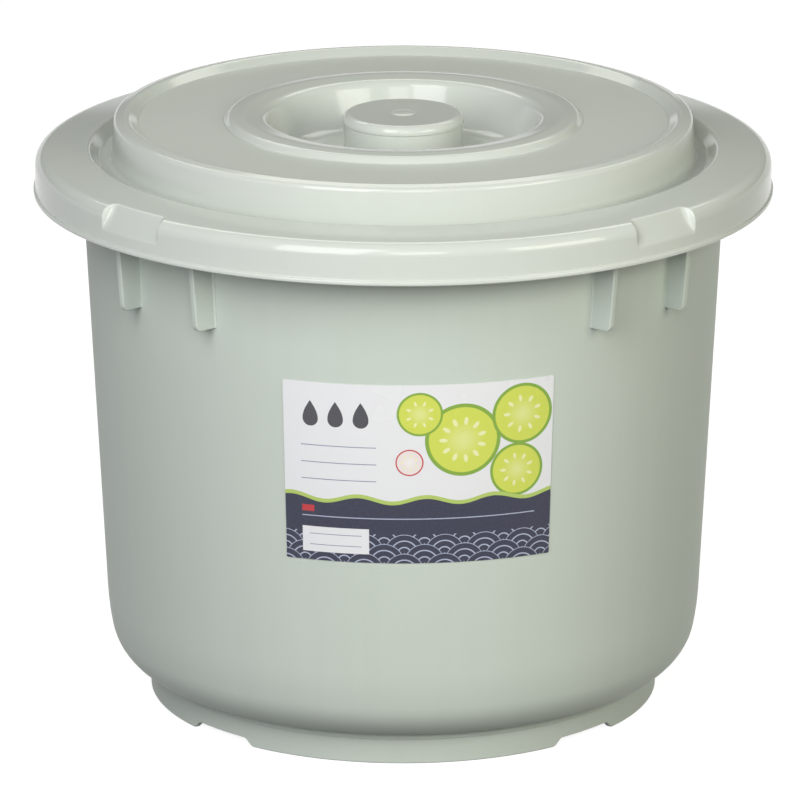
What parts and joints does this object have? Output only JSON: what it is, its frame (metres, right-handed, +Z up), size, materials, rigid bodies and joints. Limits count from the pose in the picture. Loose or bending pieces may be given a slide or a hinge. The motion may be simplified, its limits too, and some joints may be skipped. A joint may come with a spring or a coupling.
{
  "type": "pickling container",
  "caption": "Round moulded plastic tub on a notched foot ring, with ribs under its rim, a lift-off stacking lid with a sunk knob, an inner press lid and a front label.",
  "frame": {"origin": "centre of the foot ring, on the surface that the tub stands on", "axes": "+Z up along the axis of the tub, -Y towards the label on the front"},
  "size_m": [0.3, 0.3, 0.2426],
  "materials": {
    "tub_plastic": "satin moulded polypropylene, pale sage grey",
    "lid_plastic": "semi-gloss moulded polypropylene, pale sage grey",
    "press_plastic": "satin moulded polypropylene, pale sage grey",
    "label_film": "printed film, white over dark blue"
  },
  "bodies": {
    "tub": {"tub": "tub_plastic", "rim": "tub_plastic", "lip": "tub_plastic", "rib_lip": "tub_plastic", "ribs": "tub_plastic", "foot": "tub_plastic", "label": "label_film"},
    "lid": {"lid": "lid_plastic", "skirt": "lid_plastic"},
    "press_lid": {"press_lid": "press_plastic"}
  },
  "joints": [
    {"name": "lid_lift", "type": "slide", "parent": "tub", "child": "lid", "axis": [0, 0, 1], "range_m": [0, 0.24]},
    {"name": "press_lid_lift", "type": "slide", "parent": "tub", "child": "press_lid", "axis": [0, 0, 1], "range_m": [0, 0.185]}
  ]
}
